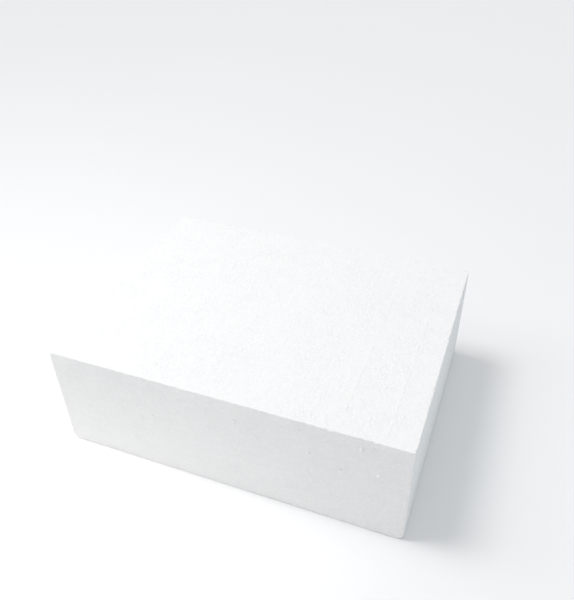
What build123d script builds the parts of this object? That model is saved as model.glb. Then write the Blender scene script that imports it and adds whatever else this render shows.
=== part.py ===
"""A dry floral foam block of expanded polystyrene, cut with a hot wire.

The block is one moulding of fused beads. On its front face a few beads have been torn loose:
some have dropped out and left pits, and some still sit in their sockets, slightly proud of
the face. Each loose bead is a piece of its own.

Millimetres. The length runs along X, the depth along Y (the front face looks along -Y) and the
height along Z. The origin is the centre of the underside.
"""

import os

from build123d import *

os.makedirs("parts", exist_ok=True)

# The block.
block_length = 300.0
block_depth = 231.0
block_height = 102.0
edge_round = 0.8  # what handling takes off a hot-wire-cut edge

# Loose beads, still in the front face. Each is placed by its distance from one end of the block
# and by its distance below the top face, and has its own size.
seat_clearance = 0.10  # air between a loose bead and its socket, all round
bead_proud = 0.9  # how far a loose bead stands out of the front face
loose_beads_from_left = [  # from the end, below the top, bead diameter
    (88.5, 40.8, 3.2),
]
loose_beads_from_right = [
    (137.0, 20.1, 3.0),
    (77.7, 30.9, 3.2),
    (38.0, 11.0, 2.9),
    (23.8, 34.8, 3.4),
]

# Pits that dropped beads have left in the front face, placed the same way.
pit_depth = 0.7
pits_from_left = [  # from the end, below the top, pit diameter
    (28.5, 50.5, 2.6),
    (106.5, 44.3, 3.6),
]
pits_from_right = [
    (110.5, 93.4, 2.2),
    (84.5, 9.2, 2.3),
    (51.7, 38.8, 2.8),
    (27.7, 7.1, 2.1),
]
pits_above_base_from_left = [  # from the end, above the underside, pit diameter
    (86.6, 14.4, 2.4),
]
pits_above_base_from_right = [
    (84.4, 16.1, 2.3),
]

left_end = -block_length / 2
right_end = block_length / 2
front_face = -block_depth / 2


def on_front(from_left, from_right):
    """(x, z, diameter) of each mark that is listed by its distance from an end and from the top."""
    left = [(left_end + along, block_height - down, size) for along, down, size in from_left]
    right = [(right_end - along, block_height - down, size) for along, down, size in from_right]
    return left + right


def above_base(from_left, from_right):
    """The same for marks that are listed by their height above the underside."""
    left = [(left_end + along, up, size) for along, up, size in from_left]
    right = [(right_end - along, up, size) for along, up, size in from_right]
    return left + right


loose_beads = on_front(loose_beads_from_left, loose_beads_from_right)
pits = on_front(pits_from_left, pits_from_right)
pits += above_base(pits_above_base_from_left, pits_above_base_from_right)


def bead_centre(x, z, diameter):
    """A loose bead's centre, sunk so that the bead stands bead_proud out of the front face."""
    return (x, front_face + diameter / 2 - bead_proud, z)


def pit_centre(x, z, diameter):
    """The centre of the ball that leaves a pit of pit_depth in the front face."""
    return (x, front_face + pit_depth - diameter / 2, z)


# The block, with a socket for each loose bead and a pit for each one that is gone.
with BuildPart() as foam_block:
    with BuildSketch(Plane.XY):
        Rectangle(block_length, block_depth)
    extrude(amount=block_height)
    fillet(foam_block.edges(), radius=edge_round)
    for x, z, diameter in loose_beads:
        with Locations(bead_centre(x, z, diameter)):
            Sphere(diameter / 2 + seat_clearance, mode=Mode.SUBTRACT)
    for x, z, diameter in pits:
        with Locations(pit_centre(x, z, diameter)):
            Sphere(diameter / 2, mode=Mode.SUBTRACT)
foam_block.part.label = "foam_block"
export_step(foam_block.part, "parts/foam_block.step")

# The loose beads, from the left end to the right.
for number, (x, z, diameter) in enumerate(loose_beads, start=1):
    with BuildPart() as loose_bead:
        with Locations(bead_centre(x, z, diameter)):
            Sphere(diameter / 2)
    loose_bead.part.label = f"loose_bead_{number}"
    export_step(loose_bead.part, f"parts/loose_bead_{number}.step")
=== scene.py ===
# A dry floral foam brick of expanded polystyrene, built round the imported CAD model.
import math
import bpy
import numpy as np
from mathutils import Euler, Matrix, Vector


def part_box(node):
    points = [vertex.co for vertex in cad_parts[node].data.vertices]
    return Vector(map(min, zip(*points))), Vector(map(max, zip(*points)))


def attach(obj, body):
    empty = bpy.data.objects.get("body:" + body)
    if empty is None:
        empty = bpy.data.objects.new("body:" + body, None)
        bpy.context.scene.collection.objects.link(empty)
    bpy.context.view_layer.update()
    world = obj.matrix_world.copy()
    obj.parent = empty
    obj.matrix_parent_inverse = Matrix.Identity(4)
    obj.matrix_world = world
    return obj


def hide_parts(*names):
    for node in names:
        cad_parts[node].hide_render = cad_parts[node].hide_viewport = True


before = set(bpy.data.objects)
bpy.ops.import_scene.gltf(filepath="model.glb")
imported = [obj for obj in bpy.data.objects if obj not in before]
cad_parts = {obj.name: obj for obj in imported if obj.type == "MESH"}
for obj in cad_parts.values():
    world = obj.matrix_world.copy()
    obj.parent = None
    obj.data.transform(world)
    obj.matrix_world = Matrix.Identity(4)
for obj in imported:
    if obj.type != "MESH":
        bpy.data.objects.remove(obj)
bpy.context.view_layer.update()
mm = 0.001
tiny = 1e-9              # the least length that anything is divided by
blockLow, blockHigh = (np.array(corner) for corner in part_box("foam_block"))
looseBeads = sorted(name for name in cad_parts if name.startswith("loose_bead"))
print("frame loaded, block", np.round((blockHigh - blockLow) / mm, 1), "mm,", len(looseBeads), "loose beads")

# The beads that the foam is made of. Both the surfaces and the materials read this pattern.
beads = {
    "pitch": 3.0 * mm,             # size of the cells that hold one bead each
    "turn": (0.61, 0.37, 0.83),    # the pattern's own turn, so that no cut runs along its rows
    "seamDepth": 0.19 * mm,        # depth of the valleys between beads
    "seamWidth": 1.1 * mm,
    "lift": 0.12 * mm,             # how far the lowest beads lie under the highest
    "lean": 0.075,                 # how far their cut tops lean about each axis at most, in radians
    "gapShare": 0.03,              # share of beads that the wire has pulled out of the face
    "gapDepth": 0.35 * mm,
    "apart": 0.01,                 # a centre nearer than this to a bead's own, in cells, is that bead
}


# Bob Jenkins' integer mix, which Blender's Voronoi node also draws its points with, so that
# the surfaces and the materials agree on where each bead is.
def turnBits(value, count):
    return (value << np.uint32(count)) | (value >> np.uint32(32 - count))


def lastMix(a, b, c):
    c = (c ^ b) - turnBits(b, 14)
    a = (a ^ c) - turnBits(c, 11)
    b = (b ^ a) - turnBits(a, 25)
    c = (c ^ b) - turnBits(b, 16)
    a = (a ^ c) - turnBits(c, 4)
    b = (b ^ a) - turnBits(a, 14)
    return (c ^ b) - turnBits(b, 24)


def hashStart(numbers):
    # a fixed value, with the count of numbers that are mixed
    return np.uint32(0xdeadbeef + (numbers << 2) + 13)


def cellRandom(cells, count=3):
    # cells: whole numbers, one lattice cell per row -> count numbers from 0 to 1 per row
    x, y, z = np.ascontiguousarray(cells.T.astype(np.float32)).view(np.uint32)
    seed = hashStart(3)
    found = [lastMix(seed + x, seed + y, seed + z)]
    if count > 1:
        seed = hashStart(4)
        a, b, c = seed + x, seed + y, seed + z
        for turns in ((4, 6, 8), (16, 19, 4)):
            a = (a - c) ^ turnBits(c, turns[0])
            c = c + b
            b = (b - a) ^ turnBits(a, turns[1])
            a = a + c
            c = (c - b) ^ turnBits(b, turns[2])
            b = b + a
        found += [lastMix(a + np.float32(k).view(np.uint32), b, c) for k in range(1, count)]
    return np.stack(found, axis=1).astype(np.float64) / 0xffffffff


def beadField(points):
    # Each lattice cell holds one bead centre: cell + random. A point belongs to the nearest
    # centre c, and its seam distance is the least of ((c + n) / 2) . (n - c) / |n - c| over the
    # neighbours n, both taken from the point.
    spin = np.array(Euler(beads["turn"]).to_matrix())
    place = (points / beads["pitch"]) @ spin.T
    home = np.floor(place)
    nearest = np.full(len(points), np.inf)
    centre, chance = np.zeros_like(place), np.zeros_like(place)
    around = []
    for step in np.ndindex(3, 3, 3):
        cell = home + np.array(step) - 1
        randoms = cellRandom(cell)
        there = cell + randoms - place
        around.append(there)
        far = (there ** 2).sum(axis=1)
        closer = far < nearest
        nearest[closer], centre[closer], chance[closer] = far[closer], there[closer], randoms[closer]
    seam = np.full(len(points), np.inf)
    for there in around:
        across = there - centre
        length = np.sqrt((across ** 2).sum(axis=1))
        other = length > beads["apart"]
        distance = ((centre + there) / 2 * across).sum(axis=1)[other] / length[other]
        seam[other] = np.minimum(seam[other], distance)
    return seam * beads["pitch"], (centre @ spin) * beads["pitch"], chance


def softNoise(points, size, shift=0.0):
    # Random values at the corners of boxes of this size, blended across each box by 3t^2 - 2t^3,
    # from -1 to 1. A long size along one axis draws the noise out into streaks.
    place = points / np.array(size) + shift
    home = np.floor(place)
    t = place - home
    t = t * t * (3 - 2 * t)
    total = np.zeros(len(points))
    for corner in np.ndindex(2, 2, 2):
        total += np.where(corner, t, 1 - t).prod(axis=1) * cellRandom(home + corner, 1)[:, 0]
    return total * 2 - 1


def fade(distance, reach):
    # (1 - (d / reach)^2)^2 inside the reach, and 0 past it
    return np.clip(1 - (distance / reach) ** 2, 0, 1) ** 2


def meshFrom(name, vertices, quads):
    mesh = bpy.data.meshes.new(name)
    mesh.vertices.add(len(vertices))
    mesh.vertices.foreach_set("co", vertices.astype(np.float32).ravel())
    mesh.loops.add(quads.size)
    mesh.loops.foreach_set("vertex_index", quads.astype(np.int32).ravel())
    mesh.polygons.add(len(quads))
    mesh.polygons.foreach_set("loop_start", np.arange(0, quads.size, 4, dtype=np.int32))
    mesh.polygons.foreach_set("use_smooth", np.ones(len(quads), dtype=bool))
    mesh.update(calc_edges=True)
    mesh.validate()
    piece = bpy.data.objects.new(name, mesh)
    bpy.context.scene.collection.objects.link(piece)
    return piece


def giveAttribute(piece, name, values):
    layer = piece.data.attributes.new(name, "FLOAT", "POINT")
    layer.data.foreach_set("value", values.astype(np.float32))


# The block.
block = {
    "gridPitch": 1.0 * mm,
    "edgeRound": 0.8 * mm,
    "edgeSteps": 3,
    "flatFacing": 0.999,           # a normal this near to -y belongs to the flat of the front face
    # how rough the cut is: left and right, front and back, base and top
    "relief": [(0.75, 0.7), (0.85, 0.75), (0.85, 0.85)],
    "reliefScale": 1.15,
    "reliefSpread": 0.3,           # how much the roughness comes and goes
    "spreadSize": 1.6,             # over how many mottleSizes it does
    "roughest": 2,                 # the materials take the roughness from 0 to this
    "wave": 0.09 * mm,             # slow waviness of the cut faces
    "waveSize": 45 * mm,
    "waveDrop": 0.4,               # share of the wave by which the faces are lowered
    "streak": 0.040 * mm,          # lines that the wire leaves along itself
    "streakSize": 3.2 * mm,
    "streakLength": 160 * mm,
    "mottle": 0.02 * mm,           # patches where the wire ran hotter
    "mottleSize": 11 * mm,
}
# Each noise is read from its own place, so that no two of them line up.
noiseShift = {"spread": 11.3, "wave": 5.1, "mottle": 7.7, "streak": 2.3, "endStreak": 9.1, "crumple": 4.4,
              "ridge": 3.5}
wireLines = {                      # what the wire's marks on the top share
    "rise": 8 * mm,                # length over which a ridge rises from nothing
    "mean": 0.7,                   # height along a ridge, as a share of its own
    "vary": 0.6,
    "varySize": 9 * mm,
    "steepness": 4,                # of the profile exp(-steepness * (x / width)^2)
    "lensReach": 5 * mm,           # the grid is drawn together along each ridge
    "lensPull": 0.6,
}
wireRidges = [                     # raised lines, each from a share of the way from the back to the front
    {"fromRight": 56.4 * mm, "start": -0.1, "height": 0.21 * mm, "width": 1.3 * mm},
    {"fromRight": 21.9 * mm, "start": 0.29, "height": 0.16 * mm, "width": 1.2 * mm},
    {"fromRight": 49.2 * mm, "start": 0.84, "height": 0.12 * mm, "width": 1.0 * mm},
]
dottedLine = {
    "fromLeft": 75.7 * mm,
    "fromFront": (81 * mm, 111 * mm),
    "depth": 0.22 * mm,
    "width": 1.1 * mm,
    "step": 3.6 * mm,
}
edges = {
    "chipDepth": 0.55 * mm,        # beads broken out of the edges
    "chipShare": 0.30,
    "chipReach": 1.5 * mm,
    "bruiseReach": 6.0 * mm,       # the corners that were knocked
    "bruiseDepth": 1.3 * mm,
    "bruised": [(0, 0, 0), (1, 0, 0), (1, 1, 1)],     # each 1 is the right, the back or the top
    "crumple": 0.35,               # how unevenly they gave way
    "crumpleSize": 2.2 * mm,
    "wear": 0.8,                   # how strongly the edges are worn, where a bruise counts 1
}
sockets = {                        # where beads were torn loose, in the front face
    "clearance": 0.10 * mm,        # air round a loose bead
    "pitDepth": 0.7 * mm,
    "lensReach": 5.0 * mm,         # the grid is drawn together round each one
    "lensPull": 0.75,
    "rimSnap": 0.24 * mm,          # grid points this near the rim move onto it
    "rimSink": 0.08 * mm,          # depth of the rim, level with the middle of the relief
    "rimFade": 0.8 * mm,           # the relief comes back over this distance from the rim
    "grip": 0.28 * mm,             # how far the rim of the foam presses into a loose bead
    "fineReach": 2.4 * mm,         # the grid has extra lines this near to a loose bead
    "fineShare": 3,                # gridPitch over the spacing of those lines
    "pitShadeMiddle": 0.8,                # painted shade: how much darker the colour is made in the middle of a pit
    "pitShadeFall": 0.5,               # how much of that is lost at its rim
    # where the pits are in mm: from the left end, below the top or above the base, diameter
    "pitsBelowTop": [(28.5, 50.5, 2.6), (106.5, 44.3, 3.6), (189.5, 93.4, 2.2), (215.5, 9.2, 2.3),
                     (248.3, 38.8, 2.8), (272.3, 7.1, 2.1)],
    "pitsAboveBase": [(86.6, 14.4, 2.4), (215.6, 16.1, 2.3)],
}


def gridLines(low, high, radius, steps, pitch, fineAt):
    # Across a rounded edge the lines stand at low + r - r tan(a) for even steps of a from 45
    # degrees to 0. Between the rounded edges they are evenly spaced, with extra lines at even
    # shares of the pitch near each of the places in fineAt, if it has any.
    bend = radius * np.tan(np.linspace(math.pi / 4, 0, steps + 1))[:-1]
    count = int(round((high - low - 2 * radius) / pitch)) + 1
    inner = even = np.linspace(low + radius, high - radius, count)
    for share in range(1, sockets["fineShare"]):
        extra = even[:-1] + share / sockets["fineShare"] * (even[1] - even[0])
        gap = np.abs(extra[:, None] - np.array(fineAt)).min(axis=1, initial=np.inf)
        inner = np.concatenate([inner, extra[gap < sockets["fineReach"]]])
    inner = np.sort(inner)
    return np.concatenate([low + radius - bend, inner, (high - radius + bend)[::-1]])


def boxGrid(lines):
    # The six faces of a box as one closed grid. Lattice point (i, j, k) has one number however
    # many faces meet there, so that the edges are welded.
    counts = [len(line) for line in lines]
    keys, quads, start = [], [], 0
    for axis in range(3):
        u, v = (axis + 1) % 3, (axis + 2) % 3
        for side in (0, counts[axis] - 1):
            index = [None] * 3
            index[u], index[v] = np.meshgrid(np.arange(counts[u]), np.arange(counts[v]), indexing="ij")
            index[axis] = np.full_like(index[u], side)
            keys.append(((index[0] * counts[1] + index[1]) * counts[2] + index[2]).ravel())
            number = start + np.arange(counts[u] * counts[v]).reshape(counts[u], counts[v])
            quad = np.stack([number[:-1, :-1], number[1:, :-1], number[1:, 1:], number[:-1, 1:]], axis=-1)
            quad = quad.reshape(-1, 4)
            quads.append(quad if side else quad[:, ::-1])
            start += number.size
    keys, inverse = np.unique(np.concatenate(keys), return_inverse=True)
    index = [keys // (counts[1] * counts[2]), keys // counts[2] % counts[1], keys % counts[2]]
    points = np.stack([lines[axis][index[axis]] for axis in range(3)], axis=1)
    return points, inverse[np.concatenate(quads)]


def drawTogether(offset, distance, reach, pull):
    # offset * (1 - pull * fade(distance, reach)): grid points near the middle come closer to it
    return offset * (1 - pull * fade(distance, reach))


def socketList():
    # One dictionary per ball-shaped pit or socket: its place on the front face, its radius, how far its
    # centre lies behind the face, how much painted shade darkens its middle (none round a loose bead) and
    # how far its rim grips a bead.
    found = []
    for name in looseBeads:
        low, high = (np.array(corner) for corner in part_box(name))
        middle, radius = (low + high) / 2, (high[0] - low[0]) / 2
        found.append({"x": middle[0], "z": middle[2], "radius": radius + sockets["clearance"],
                      "sunk": middle[1] - blockLow[1], "pitShade": 0, "grip": sockets["grip"]})
    pits = [(left, blockHigh[2] - down * mm, size) for left, down, size in sockets["pitsBelowTop"]]
    pits += [(left, blockLow[2] + up * mm, size) for left, up, size in sockets["pitsAboveBase"]]
    for left, z, size in pits:
        found.append({"x": blockLow[0] + left * mm, "z": z, "radius": size / 2 * mm,
                      "sunk": sockets["pitDepth"] - size / 2 * mm, "pitShade": sockets["pitShadeMiddle"], "grip": 0})
    return found


def beadRelief(points):
    # height = -depth * (1 - seam / width)^2 - lift * chance + lean * offset from the bead's
    # centre, and a few beads are missing, which leaves a shallow bowl.
    seam, centre, chance = beadField(points)
    seamMask = (1 - np.clip(seam / beads["seamWidth"], 0, 1)) ** 2
    lean = ((chance[:, [1, 2, 0]] - 0.5) * centre).sum(axis=1) * beads["lean"] * 2
    height = -beads["seamDepth"] * seamMask - beads["lift"] * chance[:, 0] + lean * (1 - seamMask)
    gone = np.clip(chance[:, 2] - 1 + beads["gapShare"], 0, None) / beads["gapShare"]
    return height - beads["gapDepth"] * np.sqrt(gone) * (1 - seamMask), chance


def wireMarks(points, normal):
    # Ridges: h * exp(-4 * ((x - x0) / w)^2) along the whole depth or a part of it. The dotted
    # line is a row of dents of the same profile, as deep as half of 1 + cos along it.
    top = np.clip(normal[:, 2], 0, 1)
    height = np.zeros(len(points))
    depth = blockHigh[1] - blockLow[1]
    for ridge in wireRidges:
        across = (points[:, 0] - (blockHigh[0] - ridge["fromRight"])) / ridge["width"]
        begun = np.clip((blockHigh[1] - points[:, 1] - ridge["start"] * depth) / wireLines["rise"], 0, 1)
        noise = softNoise(points, (1, wireLines["varySize"], 1), noiseShift["ridge"])
        uneven = wireLines["mean"] + wireLines["vary"] * noise
        height += ridge["height"] * np.exp(-across ** 2 * wireLines["steepness"]) * begun * uneven
    across = (points[:, 0] - blockLow[0] - dottedLine["fromLeft"]) / dottedLine["width"]
    along = points[:, 1] - blockLow[1]
    start, end = dottedLine["fromFront"]
    dots = 0.5 + 0.5 * np.cos(2 * math.pi * (along - start) / dottedLine["step"])
    dots *= (along > start) & (along < end)
    height -= dottedLine["depth"] * np.exp(-across ** 2 * wireLines["steepness"]) * dots
    return height * top


def buildBlock():
    radius, pitch = block["edgeRound"], block["gridPitch"]
    balls = socketList()
    held = [ball for ball in balls if ball["grip"]]      # the sockets that still hold a bead
    fineAt = [[ball["x"] for ball in held], [], [ball["z"] for ball in held]]
    lines = [gridLines(low, high, radius, block["edgeSteps"], pitch, places)
             for low, high, places in zip(blockLow, blockHigh, fineAt)]
    for ridge in wireRidges:
        offset = lines[0] - (blockHigh[0] - ridge["fromRight"])
        drawn = drawTogether(offset, np.abs(offset), wireLines["lensReach"], wireLines["lensPull"])
        lines[0] += drawn - offset
    points, quads = boxGrid(lines)
    core = np.clip(points, blockLow + radius, blockHigh - radius)
    normal = points - core
    normal /= np.linalg.norm(normal, axis=1)[:, None]
    points = core + radius * normal

    # The front face's grid is drawn together round each pit or socket, and then sinks into it: the ring at
    # distance r from its axis goes to the angle a = end * r / rim on the ball.
    paintedPitShade, settled, flatter = np.zeros(len(points)), np.zeros(len(points)), np.ones(len(points))
    front = np.flatnonzero(normal[:, 1] < -block["flatFacing"])
    for ball in balls:
        offset = points[front][:, [0, 2]] - (ball["x"], ball["z"])
        distance = np.hypot(*offset.T)
        near = distance < sockets["lensReach"]
        here, offset, distance = front[near], offset[near], distance[near]
        offset = drawTogether(offset, distance[:, None], sockets["lensReach"], sockets["lensPull"])
        distance = np.maximum(np.hypot(*offset.T), tiny)
        rim = math.sqrt(ball["radius"] ** 2 - ball["sunk"] ** 2) - ball["grip"]
        away = offset / distance[:, None]
        distance = np.where(np.abs(distance - rim) < sockets["rimSnap"], rim, distance)
        inside = distance < rim
        angle = (math.pi - math.acos(ball["sunk"] / ball["radius"])) * np.minimum(distance / rim, 1)
        spread = np.where(inside, ball["radius"] * np.sin(angle), distance)
        depth = np.where(inside, ball["sunk"] + ball["radius"] * np.cos(angle), 0)
        points[here[:, None], [0, 2]] = (ball["x"], ball["z"]) + away * spread[:, None]
        points[here, 1] = blockLow[1] + depth
        flatter[here] = np.where(inside, 0, 1 - fade(distance - rim, sockets["rimFade"]))
        settled[here] = np.where(inside, 0, 1 - flatter[here])
        # Painted shade: inside a pit the colour is darkened, most in the middle and less towards the rim,
        # and the loose beads' sockets get none.
        paintedPitShade[here] = np.where(inside, ball["pitShade"] * (1 - sockets["pitShadeFall"] * distance / rim), 0)

    relief, chance = beadRelief(points)
    low, high = np.array(block["relief"]).T
    strength = np.clip(-normal, 0, 1) ** 2 @ low + np.clip(normal, 0, 1) ** 2 @ high
    strength *= block["reliefScale"]
    spreadSize = block["mottleSize"] * block["spreadSize"]
    strength *= 1 + block["reliefSpread"] * softNoise(points, [spreadSize] * 3, noiseShift["spread"])
    height = relief * strength
    height += block["wave"] * softNoise(points, [block["waveSize"]] * 3, noiseShift["wave"])
    height += block["mottle"] * softNoise(points, [block["mottleSize"]] * 3, noiseShift["mottle"]) * strength

    # On the top, the front and the back the wire lay across x, and on the ends across y.
    endShare = np.abs(normal[:, 0])
    fine, long = block["streakSize"], block["streakLength"]
    streak = softNoise(points, (fine, long, long), noiseShift["streak"]) * (1 - endShare)
    streak += softNoise(points, (long, fine, long), noiseShift["endStreak"]) * endShare
    height += block["streak"] * streak
    height = (height - block["wave"] * block["waveDrop"]) * flatter
    height = height - sockets["rimSink"] * settled + wireMarks(points, normal)

    # Chips: beads near an edge that are missing. Bruises: corners pushed in towards the middle.
    faceGap = np.sort(np.minimum(points - blockLow, blockHigh - points), axis=1)[:, 1]
    nearEdge = np.exp(-(faceGap / edges["chipReach"]) ** 2)
    chipped = np.clip((chance[:, 1] - 1 + edges["chipShare"]) / edges["chipShare"], 0, 1)
    height -= edges["chipDepth"] * chipped * nearEdge * flatter
    points = points + normal * height[:, None]
    bruise = np.zeros(len(points))
    middle = (blockLow + blockHigh) / 2
    for corner in edges["bruised"]:
        tip = np.where(corner, blockHigh, blockLow)
        knock = fade(np.linalg.norm(points - tip, axis=1), edges["bruiseReach"])
        inward = np.sign(middle - tip) / math.sqrt(3)
        crumple = 1 + edges["crumple"] * softNoise(points, [edges["crumpleSize"]] * 3, noiseShift["crumple"])
        points += inward * (edges["bruiseDepth"] * knock * crumple)[:, None]
        bruise = np.maximum(bruise, knock)
    piece = meshFrom("foamBrick", points, quads)
    # the painted shade of the pits goes to the materials as a point attribute
    giveAttribute(piece, "paintedPitShade", paintedPitShade)
    giveAttribute(piece, "cut", np.clip(strength, 0, block["roughest"]))
    giveAttribute(piece, "wear", np.clip(nearEdge * edges["wear"] + bruise, 0, 1))
    return piece


brick = buildBlock()
print("block built,", len(brick.data.polygons) * 2, "triangles")

# The loose beads.
looseBead = {
    "steps": 40,                   # round the equator
    "squash": 0.02,                # how far from round
    "swell": 0.13 * mm,            # how far it stands out past the CAD bead, to fill its socket
    "dimple": 0.02 * mm,           # flats where its neighbours pressed on it
    "dimpleSize": 1.3 * mm,
}


def buildBead(name):
    # A cube's grid blown up to a ball: direction = tan-spaced cube point / its length, and
    # radius = (r + swell) * (1 - squash * (direction . axis)^2) - dimple * |noise|.
    low, high = (np.array(corner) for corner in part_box(name))
    middle, radius = (low + high) / 2, ((high - low) / 2).min()
    line = np.tan(np.linspace(-math.pi / 4, math.pi / 4, looseBead["steps"] // 4 + 1))
    points, quads = boxGrid([line] * 3)
    away = points / np.linalg.norm(points, axis=1)[:, None]
    axis = cellRandom(np.round(middle[None] / mm))[0] - 0.5
    axis /= np.linalg.norm(axis)
    length = (radius + looseBead["swell"]) * (1 - looseBead["squash"] * (away @ axis) ** 2)
    length -= looseBead["dimple"] * np.abs(softNoise(middle + away * radius, [looseBead["dimpleSize"]] * 3))
    return meshFrom(name.replace("_b", "B") + "Skin", middle + away * length[:, None], quads)


loosePieces = {name: buildBead(name) for name in looseBeads}
print("loose beads built,", sum(len(p.data.polygons) for p in loosePieces.values()) * 2, "triangles")


# The materials.
def addNode(tree, kind, values=None, **settings):
    node = tree.nodes.new(kind)
    for name, value in settings.items():
        setattr(node, name, value)
    for socket, value in (values or {}).items():
        node.inputs[socket].default_value = value
    return node


def link(tree, source, target):
    tree.links.new(source, target)


def calc(tree, operation, *values, clamp=False):
    # A Math node. Each value is a number or another node's output.
    node = addNode(tree, "ShaderNodeMath", operation=operation, use_clamp=clamp)
    for socket, value in zip(node.inputs, values):
        if isinstance(value, (int, float)):
            socket.default_value = value
        else:
            link(tree, value, socket)
    return node.outputs[0]


def mixColour(tree, share, first, second):
    node = addNode(tree, "ShaderNodeMix", data_type="RGBA")
    for socket, value in ((node.inputs[0], share), (node.inputs[6], first), (node.inputs[7], second)):
        if isinstance(value, (int, float)):
            socket.default_value = value
        elif isinstance(value, tuple):
            socket.default_value = (*value, 1)
        else:
            link(tree, value, socket)
    return node.outputs[2]


def newGroup(name, inputs, outputs):
    # inputs: name, kind and starting value. outputs: name and kind.
    tree = bpy.data.node_groups.new(name, "ShaderNodeTree")
    for label, kind, start in inputs:
        socket = tree.interface.new_socket(label, in_out="INPUT", socket_type=kind)
        if start is not None:
            socket.default_value = start
    for label, kind in outputs:
        tree.interface.new_socket(label, in_out="OUTPUT", socket_type=kind)
    return tree, tree.nodes.new("NodeGroupInput").outputs, tree.nodes.new("NodeGroupOutput").inputs


def fusedBeadsGroup():
    # The seams between fused beads, on the same cells as beadField.
    tree, given, out = newGroup(
        "fusedBeads",
        [("Place", "NodeSocketVector", None), ("Cells per metre", "NodeSocketFloat", 1 / beads["pitch"]),
         ("Seam width", "NodeSocketFloat", 0.3)],
        [("Seam", "NodeSocketFloat"), ("Tone", "NodeSocketFloat"), ("Luck", "NodeSocketFloat")])
    size = addNode(tree, "ShaderNodeCombineXYZ")
    for axis in range(3):
        link(tree, given["Cells per metre"], size.inputs[axis])
    turned = addNode(tree, "ShaderNodeMapping", {"Rotation": beads["turn"]})
    link(tree, given["Place"], turned.inputs["Vector"])
    link(tree, size.outputs[0], turned.inputs["Scale"])
    gap = addNode(tree, "ShaderNodeTexVoronoi", {"Scale": 1}, feature="DISTANCE_TO_EDGE")
    cell = addNode(tree, "ShaderNodeTexVoronoi", {"Scale": 1}, feature="F1")
    for texture in (gap, cell):
        link(tree, turned.outputs[0], texture.inputs["Vector"])
    share = calc(tree, "DIVIDE", gap.outputs["Distance"], given["Seam width"])
    rest = calc(tree, "SUBTRACT", 1, share, clamp=True)
    link(tree, calc(tree, "POWER", rest, 2), out["Seam"])
    split = addNode(tree, "ShaderNodeSeparateColor")
    link(tree, cell.outputs["Color"], split.inputs[0])
    link(tree, split.outputs[0], out["Tone"])
    link(tree, split.outputs[1], out["Luck"])
    return tree


def closedCellsGroup(domeShare=0.5, cloudShare=0.25):
    # The fine closed cells inside every bead, which show as a faint grain on a cut or a skin.
    # domeShare is how much the cells count beside the clouds, and cloudShare is the scale of
    # the clouds over that of the cells.
    tree, given, out = newGroup(
        "closedCells", [("Place", "NodeSocketVector", None), ("Cells per metre", "NodeSocketFloat", 4000)],
        [("Height", "NodeSocketFloat"), ("Tone", "NodeSocketFloat")])
    cell = addNode(tree, "ShaderNodeTexVoronoi", feature="F1")
    cloud = addNode(tree, "ShaderNodeTexNoise", {"Detail": 2, "Roughness": 0.55})
    link(tree, given["Cells per metre"], cell.inputs["Scale"])
    link(tree, calc(tree, "MULTIPLY", given["Cells per metre"], cloudShare), cloud.inputs["Scale"])
    for texture in (cell, cloud):
        link(tree, given["Place"], texture.inputs["Vector"])
    square = calc(tree, "MULTIPLY", cell.outputs["Distance"], cell.outputs["Distance"])
    dome = calc(tree, "MULTIPLY", calc(tree, "SUBTRACT", 1, square), domeShare)
    link(tree, calc(tree, "ADD", dome, cloud.outputs["Fac"]), out["Height"])
    link(tree, cloud.outputs["Fac"], out["Tone"])
    return tree


def handlingGroup(cloudyShare=0.4):
    # Faint grey smudges from handling, strongest where the wear mask is. cloudyShare is how
    # much of them lies away from it.
    tree, given, out = newGroup(
        "handling", [("Place", "NodeSocketVector", None), ("Wear", "NodeSocketFloat", 0.0),
                     ("Patch size", "NodeSocketFloat", 0.03)],
        [("Smudge", "NodeSocketFloat"), ("Patch", "NodeSocketFloat")])
    patch = addNode(tree, "ShaderNodeTexNoise", {"Detail": 3, "Roughness": 0.5})
    link(tree, calc(tree, "DIVIDE", 1, given["Patch size"]), patch.inputs["Scale"])
    speck = addNode(tree, "ShaderNodeTexNoise", {"Scale": 700, "Detail": 2})
    for texture in (patch, speck):
        link(tree, given["Place"], texture.inputs["Vector"])
    cloudy = addNode(tree, "ShaderNodeMapRange", {"From Min": 0.55, "From Max": 0.8}, clamp=True)
    link(tree, patch.outputs["Fac"], cloudy.inputs["Value"])
    dotted = addNode(tree, "ShaderNodeMapRange", {"From Min": 0.52, "From Max": 0.75}, clamp=True)
    link(tree, speck.outputs["Fac"], dotted.inputs["Value"])
    both = calc(tree, "ADD", calc(tree, "MULTIPLY", cloudy.outputs[0], cloudyShare),
                calc(tree, "MULTIPLY", given["Wear"], dotted.outputs[0]), clamp=True)
    link(tree, both, out["Smudge"])
    link(tree, patch.outputs["Fac"], out["Patch"])
    return tree


groups = {"beads": fusedBeadsGroup(), "cells": closedCellsGroup(), "handling": handlingGroup()}
foamLook = {
    "bead": (0.934, 0.927, 0.926),
    "bright": (0.964, 0.957, 0.956),
    "seam": (0.902, 0.899, 0.90),
    "smudge": (0.80, 0.79, 0.775),
    # the colour of the painted shade that darkens the pits towards their middle
    "paintedPitShade": (0.84, 0.845, 0.855),
    "beadTone": 0.75,              # how much of the tone is each bead's own
    "patchTone": 0.25,             # and how much comes from wide patches
    "seamTint": 0.7,
    "smudgeTint": 0.12,
    # how strongly that painted shade is mixed in
    "pitShadeStrength": 0.5,
    "patchSize": 0.035,
    "roughness": (0.50, 0.78),     # bead tops, seams
    "roughShare": 0.5,             # how much the seams and each bead's luck count in it
    "seamWidth": 0.28,             # in beads
    "seamBump": 0.11 * mm,
    "fusionScale": 160,            # patches per metre where beads fused better or worse
    "cellsPerMetre": 4500.0,
    "cellBump": 0.012 * mm,
    "streaksPerMetre": (900, 25, 25),
    "streakBump": 0.02 * mm,
    "subsurface": (0.12, 2.0 * mm),
    "ior": 1.35,
}
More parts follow.
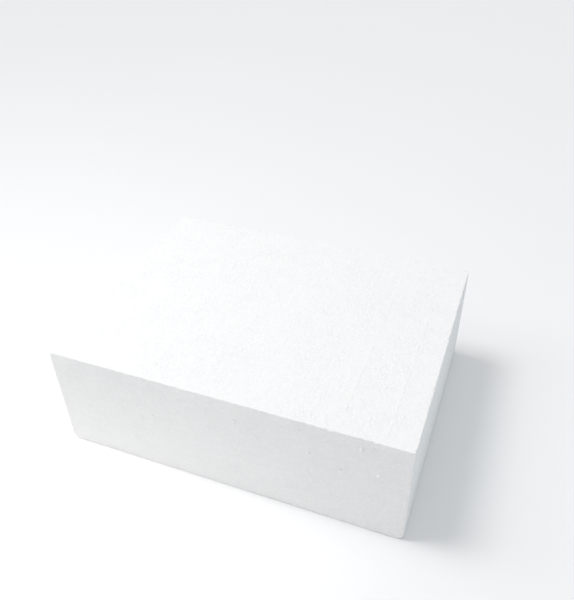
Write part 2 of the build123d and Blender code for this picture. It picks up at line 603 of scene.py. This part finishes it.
beadLook = {
    "skin": (0.985, 0.985, 0.987),
    "shade": (0.96, 0.962, 0.966),
    "smudge": (0.82, 0.81, 0.80),
    "shadeTint": 0.6,
    "smudgeTint": 0.4,
    "patchSize": 0.002,
    "roughness": (0.30, 0.50),
    "facetsPerMetre": 900.0,
    "facetSeam": 0.2,              # in facets
    "facetBump": 0.02 * mm,
    "cellsPerMetre": 6000.0,
    "cellBump": 0.006 * mm,
    "subsurface": (0.18, 1.2 * mm),
    "ior": 1.35,
}


def startMaterial(name):
    material = bpy.data.materials.new(name)
    material.use_nodes = True
    tree = material.node_tree
    place = addNode(tree, "ShaderNodeTexCoord").outputs["Object"]
    return material, tree, tree.nodes["Principled BSDF"], place


def useGroup(tree, which, place, values):
    node = addNode(tree, "ShaderNodeGroup", node_tree=groups[which])
    link(tree, place, node.inputs["Place"])
    for name, value in values.items():
        socket = node.inputs[name]
        if isinstance(value, (int, float)):
            socket.default_value = value
        else:
            link(tree, value, socket)
    return node.outputs


def addBump(tree, surface, height):
    bump = addNode(tree, "ShaderNodeBump", {"Strength": 1.0, "Distance": 1.0})
    link(tree, height, bump.inputs["Height"])
    link(tree, bump.outputs["Normal"], surface.inputs["Normal"])


def setBody(surface, look):
    # The light that passes through thin cell walls. All of these are constants on the shader.
    share, reach = look["subsurface"]
    surface.inputs["Subsurface Weight"].default_value = share
    surface.inputs["Subsurface Radius"].default_value = (1, 1, 1)
    surface.inputs["Subsurface Scale"].default_value = reach
    surface.inputs["IOR"].default_value = look["ior"]


def foamMaterial(look):
    material, tree, surface, place = startMaterial("cutFoam")
    pattern = {"Cells per metre": 1 / beads["pitch"], "Seam width": look["seamWidth"]}
    fused = useGroup(tree, "beads", place, pattern)
    cells = useGroup(tree, "cells", place, {"Cells per metre": look["cellsPerMetre"]})
    wear = addNode(tree, "ShaderNodeAttribute", attribute_name="wear").outputs["Fac"]
    # the painted shade of the pits, read from the block's mesh
    paintedPitShade = addNode(tree, "ShaderNodeAttribute", attribute_name="paintedPitShade").outputs["Fac"]
    handled = useGroup(tree, "handling", place, {"Wear": wear, "Patch size": look["patchSize"]})

    # The seams come and go, as some beads fused better than others.
    cut = addNode(tree, "ShaderNodeAttribute", attribute_name="cut").outputs["Fac"]
    fusion = addNode(tree, "ShaderNodeTexNoise", {"Scale": look["fusionScale"], "Detail": 1})
    link(tree, place, fusion.inputs["Vector"])
    span = {"From Min": 0.3, "From Max": 0.7, "To Min": 0.6, "To Max": 1.3}
    unfused = addNode(tree, "ShaderNodeMapRange", span, clamp=True)
    link(tree, fusion.outputs["Fac"], unfused.inputs["Value"])
    seam = calc(tree, "MULTIPLY", calc(tree, "MULTIPLY", fused["Seam"], cut), unfused.outputs[0])

    # Wire streaks: noise that is long along the wire and short across it.
    drawn = addNode(tree, "ShaderNodeMapping", {"Scale": look["streaksPerMetre"]})
    link(tree, place, drawn.inputs["Vector"])
    streak = addNode(tree, "ShaderNodeTexNoise", {"Scale": 1, "Detail": 2})
    link(tree, drawn.outputs[0], streak.inputs["Vector"])

    patch = calc(tree, "MULTIPLY", handled["Patch"], look["patchTone"])
    tone = calc(tree, "MULTIPLY_ADD", fused["Tone"], look["beadTone"], patch)
    colour = mixColour(tree, tone, look["bead"], look["bright"])
    colour = mixColour(tree, calc(tree, "MULTIPLY", seam, look["seamTint"]), colour, look["seam"])
    smudge = calc(tree, "MULTIPLY", handled["Smudge"], look["smudgeTint"])
    colour = mixColour(tree, smudge, colour, look["smudge"])
    # Painted shade: the colour darkens towards the middle of each pit.
    colour = mixColour(tree, calc(tree, "MULTIPLY", paintedPitShade, look["pitShadeStrength"]), colour, look["paintedPitShade"])
    link(tree, colour, surface.inputs["Base Color"])

    glossy, rough = look["roughness"]
    luck = calc(tree, "MULTIPLY", fused["Luck"], look["roughShare"])
    share = calc(tree, "MULTIPLY_ADD", fused["Seam"], look["roughShare"], luck)
    link(tree, calc(tree, "MULTIPLY_ADD", share, rough - glossy, glossy), surface.inputs["Roughness"])

    height = calc(tree, "MULTIPLY", seam, -look["seamBump"])
    height = calc(tree, "MULTIPLY_ADD", cells["Height"], look["cellBump"], height)
    height = calc(tree, "MULTIPLY_ADD", streak.outputs["Fac"], look["streakBump"], height)
    addBump(tree, surface, height)
    setBody(surface, look)
    return material


def beadMaterial(look):
    material, tree, surface, place = startMaterial("beadSkin")
    pattern = {"Cells per metre": look["facetsPerMetre"], "Seam width": look["facetSeam"]}
    facets = useGroup(tree, "beads", place, pattern)
    cells = useGroup(tree, "cells", place, {"Cells per metre": look["cellsPerMetre"]})
    handled = useGroup(tree, "handling", place, {"Patch size": look["patchSize"]})
    shade = calc(tree, "MULTIPLY", cells["Tone"], look["shadeTint"])
    colour = mixColour(tree, shade, look["skin"], look["shade"])
    smudge = calc(tree, "MULTIPLY", handled["Smudge"], look["smudgeTint"])
    colour = mixColour(tree, smudge, colour, look["smudge"])
    link(tree, colour, surface.inputs["Base Color"])
    glossy, rough = look["roughness"]
    matt = calc(tree, "MULTIPLY_ADD", cells["Tone"], rough - glossy, glossy)
    link(tree, matt, surface.inputs["Roughness"])
    height = calc(tree, "MULTIPLY", facets["Seam"], -look["facetBump"])
    addBump(tree, surface, calc(tree, "MULTIPLY_ADD", cells["Height"], look["cellBump"], height))
    setBody(surface, look)
    return material


brick.data.materials.append(foamMaterial(foamLook))
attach(brick, "root")
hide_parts("foam_block")
skin = beadMaterial(beadLook)
for name, piece in loosePieces.items():
    piece.data.materials.append(skin)
    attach(piece, "root")
    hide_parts(name)
print("materials made")

# The floor, the light and the camera.
paper = {
    "half": 6,
    "dark": (0.915, 0.915, 0.915),
    "light": (0.935, 0.935, 0.935),
    "cloudScale": 3,
    "roughness": 0.9,
}
half = paper["half"]
floorMesh = bpy.data.meshes.new("floor")
corners = [(-half, -half, 0), (half, -half, 0), (half, half, 0), (-half, half, 0)]
floorMesh.from_pydata(corners, [], [(0, 1, 2, 3)])
floor = bpy.data.objects.new("floor", floorMesh)
bpy.context.scene.collection.objects.link(floor)


def floorMaterial(look):
    material, tree, surface, place = startMaterial("palePaper")
    cloud = addNode(tree, "ShaderNodeTexNoise", {"Scale": look["cloudScale"], "Detail": 2})
    link(tree, place, cloud.inputs["Vector"])
    colour = mixColour(tree, cloud.outputs["Fac"], look["dark"], look["light"])
    link(tree, colour, surface.inputs["Base Color"])
    surface.inputs["Roughness"].default_value = look["roughness"]
    return material


floorMesh.materials.append(floorMaterial(paper))

studio = {                         # the colours of the light from each side
    "leftWall": (0.315, 0.285, 0.27),
    "rightWall": (0.212, 0.350, 0.384),
    "ceiling": (0.80, 0.80, 0.815),
    "backdrop": (0.88, 0.882, 0.885),
}
world = bpy.data.worlds.new("studio")
bpy.context.scene.world = world
world.use_nodes = True
sky = world.node_tree
coordinates = addNode(sky, "ShaderNodeTexCoord")
split = addNode(sky, "ShaderNodeSeparateXYZ")
across = addNode(sky, "ShaderNodeMapRange", {"From Min": -0.4, "From Max": 1}, clamp=True)
upward = addNode(sky, "ShaderNodeMapRange", {"From Min": 0, "From Max": 1}, clamp=True)
link(sky, coordinates.outputs["Generated"], split.inputs[0])
link(sky, split.outputs["X"], across.inputs["Value"])
link(sky, split.outputs["Z"], upward.inputs["Value"])
wall = mixColour(sky, across.outputs["Result"], studio["leftWall"], studio["rightWall"])
overhead = mixColour(sky, upward.outputs["Result"], wall, studio["ceiling"])

# What is seen past the floor is a plain pale backdrop.
seen = addNode(sky, "ShaderNodeLightPath").outputs["Is Camera Ray"]
link(sky, mixColour(sky, seen, overhead, studio["backdrop"]), sky.nodes["Background"].inputs["Color"])


lamps = {
    "keyLight": {
        "kind": "SUN", "place": (-0.61, -0.08, 1.2), "target": (0, 0, 0), "power": 0.96,
        "settings": {"angle": math.radians(20)}},
    "sideLight": {
        "kind": "POINT", "place": (-0.42, -0.135, 0.64), "target": (0, 0, 0.08), "power": 3.7,
        "settings": {"shadow_soft_size": 0.2}},
    # a strip box in front, narrowed to a band that falls on the table and fades up the front face
    "tableLight": {
        "kind": "AREA", "place": (-0.28, -0.75, 0.9), "target": (-0.25, -0.30, 0), "power": 0.225,
        "settings": {"shape": "RECTANGLE", "size": 0.55, "size_y": 0.03, "spread": math.radians(26),
                     "color": (1, 0.965, 0.95)}},
}


def addLamp(name, kind, place, target, power, settings):
    lamp = bpy.data.lights.new(name, kind)
    lamp.energy = power
    for label, value in settings.items():
        setattr(lamp, label, value)
    holder = bpy.data.objects.new(name, lamp)
    holder.location = place
    holder.rotation_euler = (Vector(target) - Vector(place)).to_track_quat("-Z", "Y").to_euler()
    bpy.context.scene.collection.objects.link(holder)


for name, lamp in lamps.items():
    addLamp(name, **lamp)

view = {
    "place": (0.1779, -0.4161, 0.4561),
    "forward": (-0.2939, 0.7383, -0.6070),
    "right": (0.9334, 0.3585, -0.0159),
    "sensor": 36,
    "focal": 661,                  # focal length and longer side of the view, in one unit
    "span": 600,
}
camera = bpy.data.cameras.new("camera")
camera.sensor_width = view["sensor"]
camera.lens = view["sensor"] * view["focal"] / view["span"]
holder = bpy.data.objects.new("camera", camera)
forward = Vector(view["forward"]).normalized()
right = Vector(view["right"])
right = (right - forward * right.dot(forward)).normalized()
up = right.cross(forward)
turn = Matrix((right, up, -forward)).transposed().to_4x4()
holder.matrix_world = Matrix.Translation(view["place"]) @ turn
bpy.context.scene.collection.objects.link(holder)
bpy.context.scene.camera = holder
bpy.context.scene.view_settings.view_transform = "Standard"
print("stage set")
